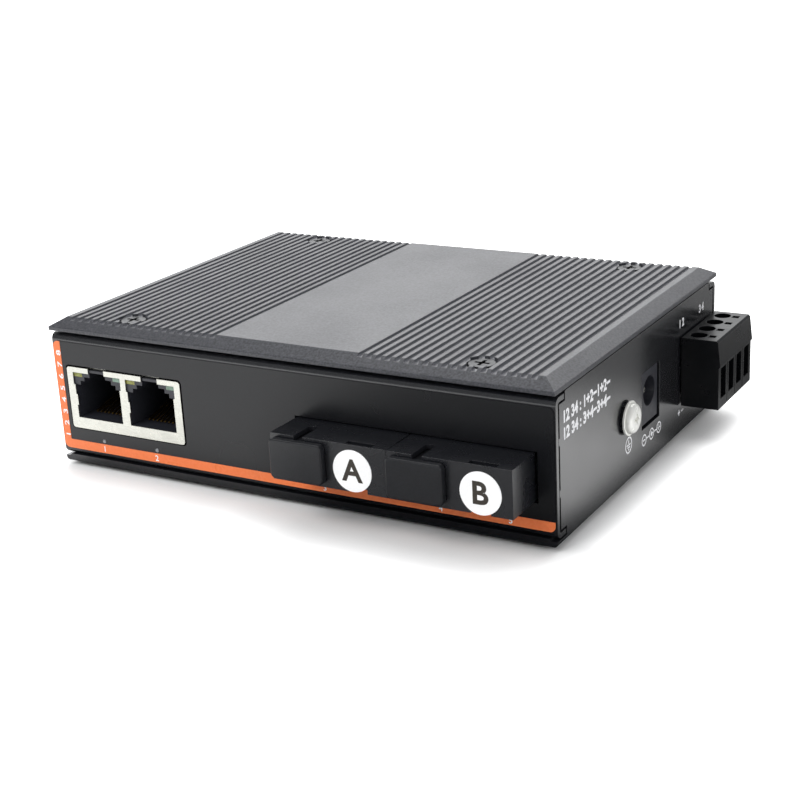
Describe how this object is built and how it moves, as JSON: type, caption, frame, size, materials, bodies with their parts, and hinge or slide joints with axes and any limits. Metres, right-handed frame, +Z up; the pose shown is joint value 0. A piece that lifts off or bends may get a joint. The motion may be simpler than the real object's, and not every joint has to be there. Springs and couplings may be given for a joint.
{
  "type": "fibre media converter",
  "caption": "Metal-cased fibre media converter with copper ports, optical ports under dust plugs, barrel inlet, pull-off terminal plug, earth screw and a rear rail clip.",
  "frame": {"origin": "centre of the case's flat underside", "axes": "+X along the port face towards the terminal side, +Y from the port face to the rear, +Z up through the ribbed cover"},
  "size_m": [0.1247, 0.1002, 0.0317],
  "materials": {
    "case_paint": "satin powder coat",
    "cover_paint": "fine sand texture coat on aluminium",
    "black_film": "satin printed film",
    "orange_ink": "screen-printed ink",
    "tin_plate": "bright tin plate",
    "zinc_steel": "bright zinc",
    "black_steel": "black zinc",
    "black_plastic": "moulded, satin",
    "module_plastic": "moulded, satin",
    "plug_plastic": "moulded, fine texture",
    "terminal_plastic": "moulded, satin",
    "gold_alloy": "gold flash",
    "bronze": "tinned bronze",
    "zirconia": "ground",
    "yellow_lens": "translucent",
    "green_lens": "translucent",
    "clear_lens": "translucent",
    "label_paper": "coated label stock",
    "board_laminate": "solder mask over laminate",
    "chip_epoxy": "moulded epoxy",
    "can_aluminium": "drawn can",
    "ferrite": "pressed ferrite",
    "clip_aluminium": "anodised extrusion"
  },
  "bodies": {
    "case": {"chassis_tray": "case_paint", "front_panel": "case_paint", "rear_panel": "case_paint", "top_cover": "cover_paint", "cover_screws": "black_steel", "panel_screws": "black_steel", "front_overlay": "black_film", "orange_band": "orange_ink", "rj45_shield": "tin_plate", "rj45_housing": "black_plastic", "rj45_contacts": "gold_alloy", "port_leds_yellow": "yellow_lens", "port_leds_green": "green_lens", "indicator_lenses": "clear_lens", "indicator_leds": "chip_epoxy", "fibre_module_a": "module_plastic", "fibre_module_b": "module_plastic", "fibre_sleeves": "zirconia", "module_pins": "zinc_steel", "port_stickers": "label_paper", "dc_jack_body": "black_plastic", "dc_jack_pin": "zinc_steel", "dc_jack_spring": "bronze", "ground_nut": "zinc_steel", "terminal_header": "terminal_plastic", "header_pins": "bronze", "circuit_board": "board_laminate", "board_standoffs": "zinc_steel", "board_screws": "zinc_steel", "switch_chip": "chip_epoxy", "lan_transformers": "chip_epoxy", "power_inductor": "ferrite", "electrolytic_capacitors": "can_aluminium", "crystal_can": "can_aluminium", "regulator_chips": "chip_epoxy", "rail_clip_plate": "clip_aluminium", "rail_clip_spring": "zinc_steel", "rail_clip_screws": "zinc_steel"},
    "dust_plug_a": {"dust_plug_a": "plug_plastic"},
    "dust_plug_b": {"dust_plug_b": "plug_plastic"},
    "terminal_plug": {"terminal_plug": "terminal_plastic", "plug_contacts": "bronze"},
    "ground_washers": {"ground_flat_washer": "zinc_steel", "ground_lock_washer": "black_steel"},
    "ground_screw": {"ground_screw": "zinc_steel"},
    "clamp_screw_1": {"clamp_screw_1": "zinc_steel"},
    "clamp_cage_1": {"clamp_cage_1": "zinc_steel"},
    "clamp_screw_2": {"clamp_screw_2": "zinc_steel"},
    "clamp_cage_2": {"clamp_cage_2": "zinc_steel"},
    "clamp_screw_3": {"clamp_screw_3": "zinc_steel"},
    "clamp_cage_3": {"clamp_cage_3": "zinc_steel"},
    "clamp_screw_4": {"clamp_screw_4": "zinc_steel"},
    "clamp_cage_4": {"clamp_cage_4": "zinc_steel"}
  },
  "joints": [
    {"name": "dust_plug_a_pull", "type": "slide", "parent": "case", "child": "dust_plug_a", "axis": [0, -1, 0], "range_m": [0, 0.02]},
    {"name": "dust_plug_b_pull", "type": "slide", "parent": "case", "child": "dust_plug_b", "axis": [0, -1, 0], "range_m": [0, 0.02]},
    {"name": "terminal_plug_pull", "type": "slide", "parent": "case", "child": "terminal_plug", "axis": [1, 0, 0], "range_m": [0, 0.015]},
    {"name": "clamp_screw_1_turn", "type": "hinge", "parent": "terminal_plug", "child": "clamp_screw_1", "pos_m": [0.0609, 0.02348, 0.0175], "axis": [0, 0, -1], "range_deg": [0, 1440]},
    {"name": "clamp_cage_1_rise", "type": "slide", "parent": "terminal_plug", "child": "clamp_cage_1", "axis": [0, 0, 1], "range_m": [0, 0.0018]},
    {"name": "clamp_screw_2_turn", "type": "hinge", "parent": "terminal_plug", "child": "clamp_screw_2", "pos_m": [0.0609, 0.02856, 0.0175], "axis": [0, 0, -1], "range_deg": [0, 1440]},
    {"name": "clamp_cage_2_rise", "type": "slide", "parent": "terminal_plug", "child": "clamp_cage_2", "axis": [0, 0, 1], "range_m": [0, 0.0018]},
    {"name": "clamp_screw_3_turn", "type": "hinge", "parent": "terminal_plug", "child": "clamp_screw_3", "pos_m": [0.0609, 0.03364, 0.0175], "axis": [0, 0, -1], "range_deg": [0, 1440]},
    {"name": "clamp_cage_3_rise", "type": "slide", "parent": "terminal_plug", "child": "clamp_cage_3", "axis": [0, 0, 1], "range_m": [0, 0.0018]},
    {"name": "clamp_screw_4_turn", "type": "hinge", "parent": "terminal_plug", "child": "clamp_screw_4", "pos_m": [0.0609, 0.03872, 0.0175], "axis": [0, 0, -1], "range_deg": [0, 1440]},
    {"name": "clamp_cage_4_rise", "type": "slide", "parent": "terminal_plug", "child": "clamp_cage_4", "axis": [0, 0, 1], "range_m": [0, 0.0018]},
    {"name": "ground_washers_back_off", "type": "slide", "parent": "case", "child": "ground_washers", "axis": [1, 0, 0], "range_m": [0, 0.0021]},
    {"name": "ground_screw_turn", "type": "hinge", "parent": "ground_washers", "child": "ground_screw", "pos_m": [0.0595, -0.0092, 0.0139], "axis": [1, 0, 0], "range_deg": [0, 1080]}
  ],
  "couplings": [
    {"joint": "clamp_screw_1_turn", "follows": "clamp_cage_1_rise", "rad_per_m": 13963},
    {"joint": "clamp_screw_2_turn", "follows": "clamp_cage_2_rise", "rad_per_m": 13963},
    {"joint": "clamp_screw_3_turn", "follows": "clamp_cage_3_rise", "rad_per_m": 13963},
    {"joint": "clamp_screw_4_turn", "follows": "clamp_cage_4_rise", "rad_per_m": 13963},
    {"joint": "ground_screw_turn", "follows": "ground_washers_back_off", "rad_per_m": 8975.9}
  ]
}
